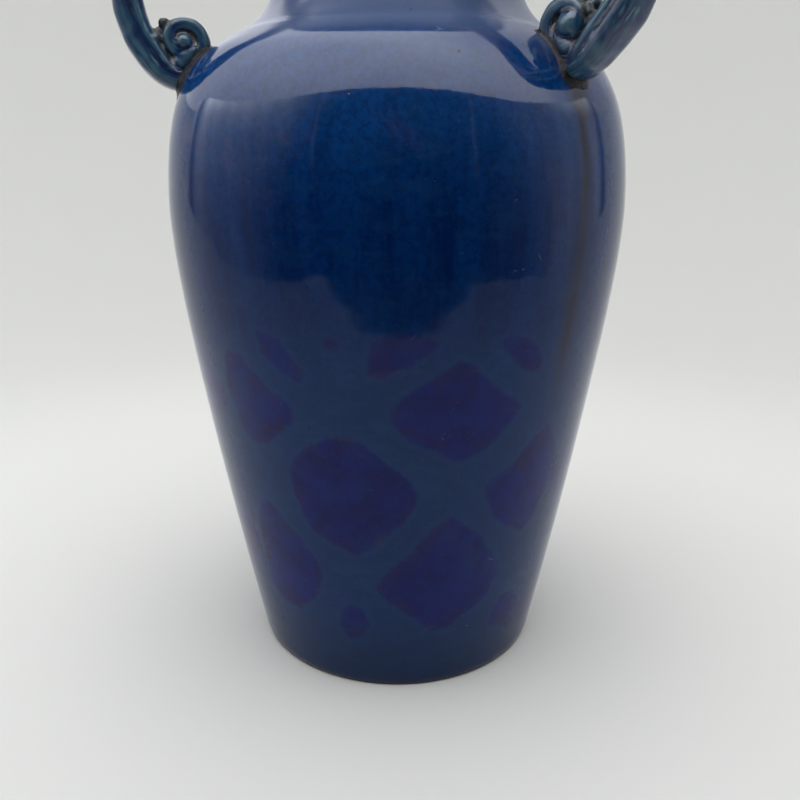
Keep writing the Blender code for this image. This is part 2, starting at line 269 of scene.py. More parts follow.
# --------------------------------------------------------------------------
# The pot: one glazed skin over belly and neck
# --------------------------------------------------------------------------
def build_pot():
    handle_az = np.radians([h[0] for h in HANDLES.values()])

    def fine(z):
        return 1.0 if 2.42 * R < z < 2.84 * R or 2.96 * R < z < 3.22 * R else 0.0

    edge = np.array([
        (OUTER[0, 0] - FOOT_EDGE, 0.0),
        (OUTER[0, 0] - 0.62 * FOOT_EDGE, 0.06 * FOOT_EDGE),
        (OUTER[0, 0] - 0.30 * FOOT_EDGE, 0.26 * FOOT_EDGE),
        (OUTER[0, 0] - 0.08 * FOOT_EDGE, 0.56 * FOOT_EDGE),
    ])
    wall = OUTER[OUTER[:, 1] > FOOT_EDGE]
    wall = resample(wall, lambda q: 0.0011 if fine(q[1]) else 0.0021)
    angles = np.radians(np.linspace(-25, 168, 14))
    lip = np.stack([
        LIP_AT[0] + LIP_R * np.cos(angles), LIP_AT[1] + LIP_R * np.sin(angles)
    ], 1)
    inner = offset(OUTER, -1.0)
    blend = smoothstep(2.62 * R, 2.86 * R, OUTER[:, 1])
    normal = (OUTER - inner)
    inner = OUTER - normal * (WALL * (1 - blend) + WALL_NECK * blend)[:, None]
    inner = inner[(inner[:, 1] > FLOOR + 0.012) & (inner[:, 1] < LIP_AT[1] - LIP_R)]
    inner = resample(inner[::-1], lambda q: 0.0050)
    start = inner[-1]
    corner = spline([start, start + (-0.0012, -0.006), start + (-0.0055, -0.0105),
                     (start[0] - 0.014, FLOOR), (start[0] - 0.022, FLOOR)], 5)[1:]
    floor_in = np.array([(0.016, FLOOR), (0.0, FLOOR)])
    base = np.array([(0.0, 0.0), (0.018, 0.0), (0.036, 0.0), (0.047, 0.0)])
    profile = np.vstack([base, edge, wall, lip, inner, corner, floor_in])
    n_outer = len(base) + len(edge) + len(wall)

    # columns: closer together near the handles
    cols, a = [], 0.0
    while a < 2 * math.pi - 1e-6:
        cols.append(a)
        gap = np.min(np.abs((a - handle_az + math.pi) % (2 * math.pi) - math.pi))
        a += math.radians(0.9 if gap < math.radians(13) else 1.5)
    cols = np.array(cols)
    cols = cols[cols < 2 * math.pi - math.radians(0.5)]
    n = len(cols)
    rows = len(profile)
    verts, ring_start = [], []
    for i, (r, z) in enumerate(profile):
        ring_start.append(len(verts))
        if r < 1e-9:
            verts.append((0.0, 0.0, z))
            continue
        phi_front = cols + math.pi / 2  # 0 at the front, right positive
        k = 1.0 if i < n_outer + 14 else 0.6
        fade = float(smoothstep(0.0, 0.010, z))
        rr = r + wobble(phi_front, z) * k * fade - 0.00003
        verts.extend(zip(rr * np.cos(cols), rr * np.sin(cols), np.full(n, z)))
    faces, mats = [], []
    for i in range(rows - 1):
        a0, b0 = ring_start[i], ring_start[i + 1]
        single_a, single_b = profile[i][0] < 1e-9, profile[i + 1][0] < 1e-9
        unglazed = i < len(base) + 2
        for j in range(n):
            k = (j + 1) % n
            if single_a:
                faces.append((a0, b0 + k, b0 + j))
            elif single_b:
                faces.append((a0 + j, a0 + k, b0))
            else:
                faces.append((a0 + j, a0 + k, b0 + k, b0 + j))
            mats.append(1 if unglazed else 0)
    pot = mesh_object("glazed_pot", verts, faces)
    pot.data.polygons.foreach_set("material_index", np.array(mats, np.int32))
    co = coords(pot)
    az = np.degrees(np.arctan2(co[:, 0], -co[:, 1]))  # 0 front, + right
    attribute(pot, "cell_mm", np.clip(cell_distance(az, co[:, 2]), -20, 20))
    is_inside = np.zeros(len(co), bool)
    is_inside[ring_start[n_outer + 13]:] = True
    attribute(pot, "inside", is_inside.astype(float))
    # glaze runs that start under the handles
    run = np.full(len(co), 60.0)
    for (where, hand), drift, length in zip(HANDLES.items(), (0.6, -0.5, 0.4), (1.05, 2.0, 1.7)):
        centre = hand[0] + 90 - 1.0
        z = co[:, 2] / R
        path = centre + drift * (2.5 - z) + 0.35 * np.sin(5.0 * z + hand[0])
        d = np.abs((az - path + 180) % 360 - 180) * math.pi / 180 * outer_radius(co[:, 2]) * 1000
        d = d - 2.2 * smoothstep(2.38, 2.52, z)
        d = d + 14 * (1 - smoothstep(length - 0.25, length + 0.55, z)) + 60 * smoothstep(2.57, 2.62, z)
        run = np.minimum(run, d)
    attribute(pot, "run_mm", run)
    return pot


# --------------------------------------------------------------------------
# The handles
# --------------------------------------------------------------------------
def handle_path(hand, steps):
    middle = np.array([SCROLL[0] * R, (SCROLL[1] + hand[2]) * R])
    pts = []
    for r, z in LOOP:
        if r > SCROLL[0]:
            r = SCROLL[0] + (r - SCROLL[0]) * (1 + (hand[1] - 1) * float(smoothstep(2.55, 2.80, z)))
        pts.append((r * R, (z + hand[2]) * R))
    for angle, dist in CURL:
        a = math.radians(angle)
        dist -= 0.007 * float(smoothstep(-100, -150, angle))
        pts.append(tuple(middle + dist * R * np.array([math.cos(a), math.sin(a)])))
    return spline(pts, steps), middle


def sweep(hand):
    """The pulled strap: a rounded section with a finger groove down each side."""
    steps, m = 8, 40
    path, middle = handle_path(hand, steps)
    curl_from = steps * (len(LOOP) - 2)
    t = np.gradient(path, axis=0)
    t /= np.linalg.norm(t, axis=1)[:, None]
    side = np.stack([t[:, 1], -t[:, 0]], 1)
    verts = []
    ang = 2 * np.pi * (np.arange(m) + 0.5) / m
    c, s = np.cos(ang), np.sin(ang)
    for i, p in enumerate(path):
        k = float(smoothstep(curl_from, curl_from + 3.5 * steps, i))
        thick = (STRAP_T * (1 - k) + 1.30 * SCROLL_T * k) / 2 * 0.965
        wide = (STRAP_W * (1 - k) + SCROLL_W * k) / 2 * 0.985
        u = np.sign(c) * np.abs(c) ** 0.66 * thick
        w = np.sign(s) * np.abs(s) ** 0.66 * wide
        x = u / thick
        groove = (
            0.115 * np.exp(-((x - 0.10) / 0.26) ** 2)
            + 0.030 * np.exp(-((x + 0.62) / 0.12) ** 2)
        ) * (1 - 0.55 * k)
        w = w * (1 - groove)
        y = w / wide
        u = u * (1 - 0.03 * (x > 0) * np.exp(-(y / 0.25) ** 2) * (1 - k))
        j = i / len(path)
        u = u * (1 + 0.012 * math.sin(23 * j + hand[0]))
        w = w * (1 + 0.015 * math.sin(31 * j + 2 * hand[0]))
        q = p[None, :] + side[i][None, :] * u[:, None]
        verts.extend(zip(q[:, 0], w, q[:, 1]))
    n = len(path)
    faces = []
    for i in range(n - 1):
        for j in range(m):
            k = (j + 1) % m
            faces.append((i * m + j, i * m + k, (i + 1) * m + k, (i + 1) * m + j))
    faces.append(tuple(range(m))[::-1])
    faces.append(tuple((n - 1) * m + j for j in range(m)))
    return verts, faces, middle


def blob(centre, axes, semi, square=1.0, u=32, v=20):
    bm = bmesh.new()
    bmesh.ops.create_uvsphere(bm, u_segments=u, v_segments=v, radius=1.0)
    vs = np.array([vert.co[:] for vert in bm.verts])
    fs = [tuple(x.index for x in f.verts) for f in bm.faces]
    bm.free()
    vs = np.sign(vs) * np.abs(vs) ** square * np.array(semi)
    return (np.array(centre) + vs @ np.array(axes)).tolist(), fs


def surface_axes(z):
    a = np.array([outer_radius(z - 0.003), z - 0.003])
    b = np.array([outer_radius(z + 0.003), z + 0.003])
    up = (b - a) / np.linalg.norm(b - a)
    return ((up[1], 0.0, -up[0]), (0.0, 1.0, 0.0), (up[0], 0.0, up[1]))


def inside_depth(co):
    """How far points lie outside (+) or inside (-) the pot's outer skin."""
    r = np.hypot(co[:, 0], co[:, 1])
    z = co[:, 2]
    slope = (outer_radius(z + 5e-4) - outer_radius(z - 5e-4)) / 1e-3
    return (r - outer_radius(z)) / np.sqrt(1 + slope ** 2), slope


def neighbours_mean(obj, values, rounds):
    """Smooths a per-vertex value over the mesh."""
    e = np.empty(len(obj.data.edges) * 2, np.int32)
    obj.data.edges.foreach_get("vertices", e)
    a, b = e[::2], e[1::2]
    values = np.asarray(values, float)
    count = np.bincount(a, minlength=len(values)) + np.bincount(b, minlength=len(values))
    count = np.maximum(count, 1)
    for _ in range(rounds):
        if values.ndim == 1:
            total = np.bincount(a, values[b], len(values)) + np.bincount(b, values[a], len(values))
            values = 0.5 * values + 0.5 * total / count
        else:
            total = np.stack([
                np.bincount(a, values[b, k], len(values)) + np.bincount(b, values[a, k], len(values))
                for k in range(values.shape[1])
            ], 1)
            values = 0.5 * values + 0.5 * total / count[:, None]
    return values


def build_handle(where, hand, voxel):
    verts, faces, middle = sweep(hand)
    verts = list(verts)
    strap_rows = len(verts) // 40

    def add(part):
        start = len(verts)
        verts.extend(part[0])
        faces.extend(tuple(i + start for i in f) for f in part[1])

    mid = (middle[0], 0.0, middle[1])
    ident = ((1, 0, 0), (0, 1, 0), (0, 0, 1))
    size = 1.0 + 2.1 * (hand[3] - 1.0)
    out = 0.17 * (hand[3] - 1.0) * R
    knob, knob_w = 0.044 * R * size, 0.076 * R * (0.5 + 0.5 * size)
    add(blob((mid[0] + out, 0.0, mid[2]), ident, (knob, knob_w, knob), 0.92))
    # glaze and slip that fill the turns of the scroll
    add(blob(mid, ident, (0.092 * R, 0.043 * R, 0.092 * R), 0.8))
    for right, up, a, b, c in (
        (0.088, -0.052, 0.050, 0.040, 0.075), (0.112, -0.004, 0.030, 0.036, 0.045), (0.030, -0.105, 0.075, 0.046, 0.045),
        (-0.035, -0.085, 0.060, 0.046, 0.055),
    ):
        add(blob((mid[0] + right * R, 0.0, mid[2] + up * R), ident, (a * R, b * R, c * R)))
    # crumbs of slip pinched up where the scroll touches the strap
    seeds = []
    for turn, far, size in ((6, 0.112, 0.022), (20, 0.108, 0.017), (34, 0.104, 0.019), (50, 0.103, 0.012),
                            (-8, 0.118, 0.020)):
        for side in (-1, 1):
            a = math.radians(turn + rng.uniform(-5, 5) + 4 * side)
            c = np.array(mid) + np.array((math.cos(a) * far, side * rng.uniform(0.022, 0.052), math.sin(a) * far)) * R
            add(blob(c, ident, np.array((1.0, 1.3, 0.9)) * size * R * rng.uniform(0.8, 1.15), u=12, v=8))
            seeds.append(c)
    axes = surface_axes(2.6 * R)
    heel = np.array(mid) - np.array(axes[0]) * 0.035 * R - np.array(axes[2]) * 0.055 * R
    add(blob(heel, axes, (0.050 * R, 0.071 * R, 0.108 * R), 0.9))
    raw = mesh_object(f"raw_{where}", verts, faces, smooth=False)
    mod = raw.modifiers.new("melt", "REMESH")
    mod.mode, mod.voxel_size, mod.adaptivity = "VOXEL", voxel, 0.0
    dg = bpy.context.evaluated_depsgraph_get()
    mesh = bpy.data.meshes.new_from_object(raw.evaluated_get(dg))
    bpy.data.objects.remove(raw)
    obj = bpy.data.objects.new(f"glazed_handle_{where}", mesh)
    bpy.context.scene.collection.objects.link(obj)
    co = coords(obj)
    soft = neighbours_mean(obj, co, 5)
    # keep the volume that plain smoothing takes away
    soft = soft + 0.6 * (soft - neighbours_mean(obj, soft, 4))
    # the hand-made unevenness
    x, y, z = (soft * (2 * math.pi / 0.024)).T
    lump = (np.sin(x + 1.7 * np.sin(0.7 * z)) * np.sin(1.3 * y + 0.5) + 0.6 * np.sin(2.1 * z + x + 2) * np.sin(1.9 * x - y)
            + 0.35 * np.sin(3.7 * x + 1) * np.sin(4.1 * z + y) * np.sin(3.3 * y + 2))
    mesh.vertices.foreach_set("co", soft.astype(np.float32).ravel())
    mesh.update()
    out = np.empty(len(soft) * 3, np.float32)
    mesh.vertices.foreach_get("normal", out)
    soft = soft + out.reshape(-1, 3) * (0.00014 * lump - 0.00006)[:, None]
    d, slope = inside_depth(soft)
    deep = d < -0.0012
    n = np.stack([soft[:, 0], soft[:, 1], -slope * np.hypot(soft[:, 0], soft[:, 1])], 1)
    n /= np.linalg.norm(n, axis=1)[:, None]
    soft[deep] += n[deep] * (-0.0012 - d[deep])[:, None]
    mesh.vertices.foreach_set("co", soft.astype(np.float32).ravel())
    mesh.update()
    mesh.shade_smooth()
    # hollows (+) and ridges (-), from how far each point lies under the
    # average of its surroundings
    normals = np.empty(len(soft) * 3, np.float32)
    mesh.vertices.foreach_get("normal", normals)
    normals = normals.reshape(-1, 3).astype(float)
    dip = ((neighbours_mean(obj, soft, 14) - soft) * normals).sum(1) * 1000
    attribute(obj, "dip_mm", neighbours_mean(obj, dip, 3))
    seeds = np.array(seeds)
    crust = np.min(np.linalg.norm(soft[:, None, :] - seeds[None, :, :], axis=2), axis=1) * 1000 - 1.6
    attribute(obj, "crust_mm", np.clip(crust, -3, 20))
    d, _ = inside_depth(soft)
    attribute(obj, "wall_mm", d * 1000)
    # where each point lies along and around the pulled strap
    m = 40
    rows = strap_rows
    tree = KDTree(rows * m)
    for k in range(rows * m):
        tree.insert(verts[k], k)
    tree.balance()
    near = np.array([tree.find(v)[1] for v in soft])
    path = np.array([np.mean([verts[i * m], verts[i * m + m // 2]], axis=0) for i in range(rows)])
    length = np.concatenate([[0.0], np.cumsum(np.linalg.norm(np.diff(path, axis=0), axis=1))])
    angle = math.tau * (near % m + 0.5) / m
    for key, value in (
        ("lane_x", np.cos(angle)), ("lane_y", np.sin(angle)), ("along_mm", length[near // m] * 1000),
    ):
        attribute(obj, key, neighbours_mean(obj, value, 3))
    return obj


def build_luting(name, hand, handle, z0, half_s, half_m, width, rise, spread=0.0):
    """The seam of clay round a handle's foot: a skin over the pot wall that
    rises in a hollow curve against the handle and ends in a soft edge."""
    co = coords(handle)
    depth, _ = inside_depth(co)
    seen = [tuple(f.vertices) for f in handle.data.polygons if depth[list(f.vertices)].min() > -0.00045]
    bvh = BVHTree.FromPolygons([tuple(v) for v in co], seen)
    step = 0.00055
    z_line = spline(np.array(TEMPLATE) * R, 60)
    seg = np.linalg.norm(np.diff(z_line, axis=0), axis=1)
    arc = np.concatenate([[0.0], np.cumsum(seg)])
    centre = np.interp(z0, z_line[:, 1], arc)
    nm, ns = int(2 * half_m / step), int(2 * half_s / step)
    ms = centre + np.linspace(-half_m, half_m, nm)
    ss = np.linspace(-half_s, half_s, ns)
    top, low = [], []
    pr = np.interp(ms, arc, z_line[:, 0])
    pz = np.interp(ms, arc, z_line[:, 1])
    tr, tz = np.gradient(pr, ms), np.gradient(pz, ms)
    heights = np.empty((nm, ns))
    edges = np.empty((nm, ns))
    lower = smoothstep(0.10, 0.45, (centre - ms) / half_m)
    phase = hand[0]
    for i in range(nm):
        r, z = pr[i], pz[i]
        nr, nz = tz[i], -tr[i]
        ln = math.hypot(nr, nz)
        nr, nz = nr / ln, nz / ln
        for j in range(ns):
            a = ss[j] / r
            rr = r + wobble(math.radians(hand[0]) + a + math.pi / 2, z) - 0.00003
            lift = 0.0006
            p = Vector(((rr + nr * lift) * math.cos(a), (rr + nr * lift) * math.sin(a), z + nz * lift))
            hit, normal, _, dist = bvh.find_nearest(p)
            if hit is None:
                dist = 1.0
            elif (p - hit).dot(normal) < 0:
                dist = -dist
            uneven = (0.14 * math.sin(ss[j] * 620 + i * 0.11 + phase) + 0.12 * math.sin(i * 0.31 + phase * 2)
                      + 0.10 * math.sin(i * 0.83 + ss[j] * 1900))
            w = width * (1 + uneven * (1 - 0.8 * float(lower[i])))
            w *= 1 + spread * float(smoothstep(0.15, 0.75, (centre - ms[i]) / half_m))
            w *= 1 - 0.50 * float(smoothstep(0.30, 0.56, (ms[i] - centre) / half_m))
            x = dist / w
            if x < -1.2:
                h = 0.0
            elif x < 0:
                h = rise
            elif x < 1:
                h = 0.00022 + (rise - 0.00022) * (1 - x) ** 2.2
            else:
                h = 0.00022 - (x - 1) * w * 0.9
            h = max(h, -0.0008)
            heights[i, j] = h
            edges[i, j] = x
            top.append(((rr + nr * h) * math.cos(a), (rr + nr * h) * math.sin(a), z + nz * h))
            low.append(((rr - nr * 0.0016) * math.cos(a), (rr - nr * 0.0016) * math.sin(a), z - nz * 0.0016))
    top_n = nm * ns
    # the rim is pulled under the wall, so the skin always closes below it
    verts = top + low
    faces = []
    for i in range(nm - 1):
        for j in range(ns - 1):
            a, b, c, d = i * ns + j, i * ns + j + 1, (i + 1) * ns + j + 1, (i + 1) * ns + j
            faces.append((a, b, c, d))
            faces.append((top_n + d, top_n + c, top_n + b, top_n + a))
    rim = (
        [j for j in range(ns)] + [i * ns + ns - 1 for i in range(1, nm)]
        + [(nm - 1) * ns + j for j in range(ns - 2, -1, -1)] + [i * ns for i in range(nm - 2, 0, -1)]
    )
    for a, b in zip(rim, rim[1:] + rim[:1]):
        faces.append((b, a, top_n + a, top_n + b))
    obj = mesh_object(name, verts, faces)
    bm = bmesh.new()
    bm.from_mesh(obj.data)
    bmesh.ops.recalc_face_normals(bm, faces=bm.faces[:])
    bm.to_mesh(obj.data)
    bm.free()
    flat = edges.ravel()
    attribute(obj, "seam", np.concatenate([flat, flat]))
    tail = np.repeat(lower, ns)
    attribute(obj, "tail", np.concatenate([tail, tail]))
    return obj


# --------------------------------------------------------------------------
# Materials
# --------------------------------------------------------------------------
class Tree:
    """A short way to write shader nodes."""

    def __init__(self, name):
        self.mat = bpy.data.materials.new(name)
        self.mat.use_nodes = True
        self.nt = self.mat.node_tree
        self.nt.nodes.clear()
        self.out = self.nt.nodes.new("ShaderNodeOutputMaterial")
        self.bsdf = self.nt.nodes.new("ShaderNodeBsdfPrincipled")
        self.nt.links.new(self.bsdf.outputs[0], self.out.inputs[0])
        self.coord = self.nt.nodes.new("ShaderNodeTexCoord").outputs["Object"]

    def put(self, socket, value):
        if isinstance(value, bpy.types.NodeSocket):
            self.nt.links.new(value, socket)
        elif value is not None:
            socket.default_value = value

    def math(self, op, a, b=None, c=None, clamp=False):
        n = self.nt.nodes.new("ShaderNodeMath")
        n.operation, n.use_clamp = op, clamp
        for s, v in zip(n.inputs, (a, b, c)):
            self.put(s, v)
        return n.outputs[0]

    def attr(self, name):
        n = self.nt.nodes.new("ShaderNodeAttribute")
        n.attribute_name = name
        return n.outputs["Fac"]

    def scaled(self, scale, offset=(0, 0, 0)):
        n = self.nt.nodes.new("ShaderNodeMapping")
        self.put(n.inputs["Vector"], self.coord)
        n.inputs["Scale"].default_value = scale
        n.inputs["Location"].default_value = offset
        return n.outputs[0]

    def noise(self, scale, detail=3.0, rough=0.55, vector=None, distortion=0.0):
        n = self.nt.nodes.new("ShaderNodeTexNoise")
        self.put(n.inputs["Vector"], vector or self.coord)
        n.inputs["Scale"].default_value = scale
        n.inputs["Detail"].default_value = detail
        n.inputs["Roughness"].default_value = rough
        n.inputs["Distortion"].default_value = distortion
        return n.outputs["Fac"]

    def voronoi(self, scale, feature="F1", vector=None, randomness=1.0):
        n = self.nt.nodes.new("ShaderNodeTexVoronoi")
        n.feature = feature
        self.put(n.inputs["Vector"], vector or self.coord)
        n.inputs["Scale"].default_value = scale
        n.inputs["Randomness"].default_value = randomness
        return n.outputs["Distance"]

    def step(self, value, lo, hi, to=(0.0, 1.0)):
        n = self.nt.nodes.new("ShaderNodeMapRange")
        n.interpolation_type = "SMOOTHSTEP"
        self.put(n.inputs["Value"], value)
        n.inputs["From Min"].default_value, n.inputs["From Max"].default_value = lo, hi
        n.inputs["To Min"].default_value, n.inputs["To Max"].default_value = to
        return n.outputs[0]

    def mix(self, fac, a, b, mode="MIX"):
        n = self.nt.nodes.new("ShaderNodeMix")
        n.data_type, n.blend_type = "RGBA", mode
        self.put(n.inputs[0], fac)
        for s, v in ((n.inputs[6], a), (n.inputs[7], b)):
            self.put(s, (*v, 1.0) if isinstance(v, tuple) and len(v) == 3 else v)
        return n.outputs[2]

    def bump(self, height, strength, distance, normal=None):
        n = self.nt.nodes.new("ShaderNodeBump")
        self.put(n.inputs["Height"], height)
        n.inputs["Strength"].default_value = strength
        n.inputs["Distance"].default_value = distance
        if normal is not None:
            self.put(n.inputs["Normal"], normal)
        return n.outputs[0]

    def finish(self, colour, rough, normal=None, ior=1.45):
        b = self.bsdf
        self.put(b.inputs["Base Color"], colour)
        self.put(b.inputs["Roughness"], rough)
        b.inputs["IOR"].default_value = ior
        if normal is not None:
            self.put(b.inputs["Normal"], normal)
        return self.mat


def pot_material():
    t = Tree("cobalt_lustre_glaze")
    sep = t.nt.nodes.new("ShaderNodeSeparateXYZ")
    t.put(sep.inputs[0], t.coord)
    height = t.math("MULTIPLY", sep.outputs["Z"], 1 / R)
    cell = t.attr("cell_mm")
    run = t.attr("run_mm")

    # the ground: slate-cobalt, streaked downwards and finely speckled
    streak = t.noise(26, 4, 0.6, t.scaled((4.2, 4.2, 0.55)))
    cloud = t.noise(17, 4, 0.6, distortion=0.6)
    fleck = t.noise(900, 2, 0.6)
    fibre = t.noise(150, 3, 0.6, t.scaled((3.0, 3.0, 0.35)))
    ground = t.mix(t.step(streak, 0.34, 0.66), (0.0004, 0.0150, 0.092), (0.0010, 0.0320, 0.152))
    ground = t.mix(t.step(fibre, 0.45, 0.72, (0.0, 0.35)), ground, (0.0022, 0.0450, 0.185))
    # painted highlight: the shoulder is painted brighter and bluer, standing in for the light reflected from above
    shoulder_highlight = t.step(height, 2.0, 2.5)
    ground = t.mix(t.math("MULTIPLY", shoulder_highlight, 0.78), ground, (0.0030, 0.0530, 0.210))
    ground = t.mix(t.math("MULTIPLY", t.step(cloud, 0.46, 0.72), 0.40), ground, (0.0030, 0.0380, 0.135))
    low = t.step(height, 1.30, 1.95, (1.0, 0.0))
    ground = t.mix(t.math("MULTIPLY", low, 0.85), ground, (0.0042, 0.0285, 0.108))
    grit = t.noise(520, 3, 0.7)
    grain = t.math("MULTIPLY", t.step(grit, 0.36, 0.62, (0.50, 0.0)), t.step(height, 1.3, 1.9, (0.45, 1.0)))
    ground = t.mix(grain, ground, (0.0004, 0.0120, 0.062))
    brush = t.noise(75, 4, 0.65, t.scaled((1.0, 1.0, 2.4)))
    ground = t.mix(t.step(brush, 0.48, 0.70, (0.0, 0.38)), ground, (0.0090, 0.0480, 0.135))
    # painted reflection: lilac patches on the shoulder, the lustre's tinted mirror image of the bright cloth above
    # laid into the colour
    lustre = t.math("MULTIPLY", t.step(t.noise(30, 5, 0.65, distortion=1.2), 0.50, 0.70),
                    t.step(height, 1.9, 2.5))
    ground = t.mix(t.math("MULTIPLY", lustre, 0.62), ground, (0.055, 0.056, 0.136))

    # painted highlight: the neck is painted a paler lilac in place of the reflection of the bright cloth above
    neck = t.step(height, 2.56, 2.72)
    ground = t.mix(t.math("MULTIPLY", neck, 0.76), ground, (0.090, 0.122, 0.215))

    # the cells of the lattice: violet blue, mottled purple towards their edges
    ragged = t.math("MULTIPLY_ADD", t.math("SUBTRACT", t.noise(260, 4, 0.70), 0.5), 3.2, cell)
    ragged = t.math("MULTIPLY_ADD", t.math("SUBTRACT", t.noise(75, 3, 0.6), 0.5), 4.4, ragged)
    inside = t.step(ragged, -2.6, 1.6, (1.0, 0.0))
    fade = t.step(height, 1.50, 1.80, (1.0, 0.28))
    inside = t.math("MULTIPLY", inside, fade)
    violet = t.mix(t.step(t.noise(110, 5, 0.72), 0.36, 0.64), (0.0004, 0.0046, 0.086), (0.0008, 0.0098, 0.132))
    azure = t.step(t.noise(34, 4, 0.6, t.scaled((1, 1, 1), (5, 2, 4))), 0.50, 0.66)
    violet = t.mix(t.math("MULTIPLY", azure, 0.65), violet, (0.0008, 0.0220, 0.130))
    near_edge = t.step(cell, -8.5, -0.5)
    purple = t.math("MULTIPLY", t.step(t.noise(52, 5, 0.70, distortion=0.9), 0.45, 0.62),
                    t.math("MULTIPLY_ADD", near_edge, 0.76, 0.20))
    violet = t.mix(t.math("MULTIPLY", purple, 0.66), violet, (0.0150, 0.0088, 0.062))
    rust = t.math("MULTIPLY", t.step(t.noise(58, 5, 0.72, t.scaled((1, 1, 2.2), (3, 1, 2)), 0.8), 0.56, 0.68), near_edge)
    violet = t.mix(t.math("MULTIPLY", rust, 0.62), violet, (0.0360, 0.0310, 0.052))
    colour = t.mix(inside, ground, violet)
    # a brighter hairline where a band ends
    rim = t.math("MULTIPLY", t.step(ragged, -1.4, 0.0), t.step(ragged, 0.2, 1.8, (1.0, 0.0)))
    colour = t.mix(t.math("MULTIPLY", t.math("MULTIPLY", rim, fade), 0.30), colour, (0.008, 0.045, 0.140))

    # brown runs under the handles
    wavering = t.math("MULTIPLY_ADD", t.math("SUBTRACT", t.noise(120, 3), 0.5), 1.6, run)
    halo = t.step(wavering, 1.5, 7.0, (1.0, 0.0))
    colour = t.mix(t.math("MULTIPLY", halo, 0.45), colour, (0.016, 0.022, 0.045))
    core = t.step(wavering, 0.0, 2.6, (1.0, 0.0))
    colour = t.mix(t.math("MULTIPLY", core, 0.78), colour, (0.016, 0.008, 0.015))

    # fine light flecks and pinholes, and a few nicks that show pale
    colour = t.mix(t.math("MULTIPLY", t.step(fleck, 0.62, 0.80), 0.42), colour, (0.022, 0.075, 0.200))
    pits = t.voronoi(240)
    pit_mask = t.step(t.noise(95, 2), 0.60, 0.66)
    pit = t.math("MULTIPLY", t.step(pits, 0.055, 0.11, (1.0, 0.0)), pit_mask)
    colour = t.mix(t.math("MULTIPLY", pit, 0.75), colour, (0.004, 0.008, 0.020))
    nick_lines = t.voronoi(150, "DISTANCE_TO_EDGE", t.scaled((1.0, 1.0, 2.6)))
    nick_mask = t.math("MULTIPLY", t.step(t.noise(42, 3, 0.6, t.scaled((1, 1, 1), (7, 5, 3))), 0.655, 0.70),
                       t.step(t.noise(330, 2, 0.5), 0.55, 0.62))
    nick = t.math("MULTIPLY", t.step(nick_lines, 0.008, 0.028, (1.0, 0.0)), nick_mask)
    colour = t.mix(t.math("MULTIPLY", nick, 0.55), colour, (0.24, 0.27, 0.36))

    # painted shade: a darker band round the waist, above the lattice, stands in for the dark reflection there
    waist_shade = t.math("MULTIPLY", t.step(height, 1.45, 1.80), t.step(height, 1.95, 2.35, (1.0, 0.0)))
    colour = t.mix(t.math("MULTIPLY", waist_shade, 0.26), colour, (0.0002, 0.0060, 0.048))
    # painted shade: the glaze is darkened towards the foot, where it stands near the floor
    foot_shade = t.step(height, 0.02, 0.50, (0.42, 0.0))
    colour = t.mix(foot_shade, colour, (0.0030, 0.0090, 0.030))
    # the glaze goes near black and rougher in a thin band at the very foot
    foot = t.step(t.math("MULTIPLY_ADD", t.math("SUBTRACT", t.noise(160, 3), 0.5), 0.010, height), 0.008, 0.034, (1.0, 0.0))
    colour = t.mix(t.math("MULTIPLY", foot, 0.60), colour, (0.012, 0.011, 0.012))
    rough = t.math("MULTIPLY_ADD", t.noise(55, 4, 0.6), 0.060, 0.030)
    rough = t.math("MULTIPLY_ADD", neck, 0.16, rough)
    rough = t.math("MULTIPLY_ADD", nick, 0.35, rough)
    rough = t.math("MULTIPLY_ADD", foot, 0.25, rough)
    peel = t.bump(t.noise(420, 2, 0.5), 0.10, 0.00010)
    waves = t.bump(t.noise(55, 2, 0.5, t.scaled((1.0, 1.0, 0.55))), 0.30, 0.00022, peel)
    normal = t.bump(t.math("MULTIPLY", t.math("ADD", pit, nick), -1.0), 0.5, 0.00015, waves)
    return t.finish(colour, rough, normal, ior=1.285)


def clay_material():
    t = Tree("bare_stoneware")
    grain = t.noise(700, 4, 0.7)
    blotch = t.noise(40, 4, 0.6)
    colour = t.mix(t.step(blotch, 0.35, 0.7), (0.260, 0.200, 0.140), (0.180, 0.130, 0.090))
    colour = t.mix(t.math("MULTIPLY", t.step(grain, 0.55, 0.75), 0.6), colour, (0.060, 0.045, 0.035))
    rings = t.nt.nodes.new("ShaderNodeTexWave")
    rings.wave_type, rings.rings_direction = "RINGS", "Z"
    t.put(rings.inputs["Vector"], t.coord)
    rings.inputs["Scale"].default_value = 130
    rings.inputs["Distortion"].default_value = 1.2
    normal = t.bump(rings.outputs["Fac"], 0.25, 0.0003)
    normal = t.bump(grain, 0.4, 0.0002, normal)
    return t.finish(colour, 0.85, normal)


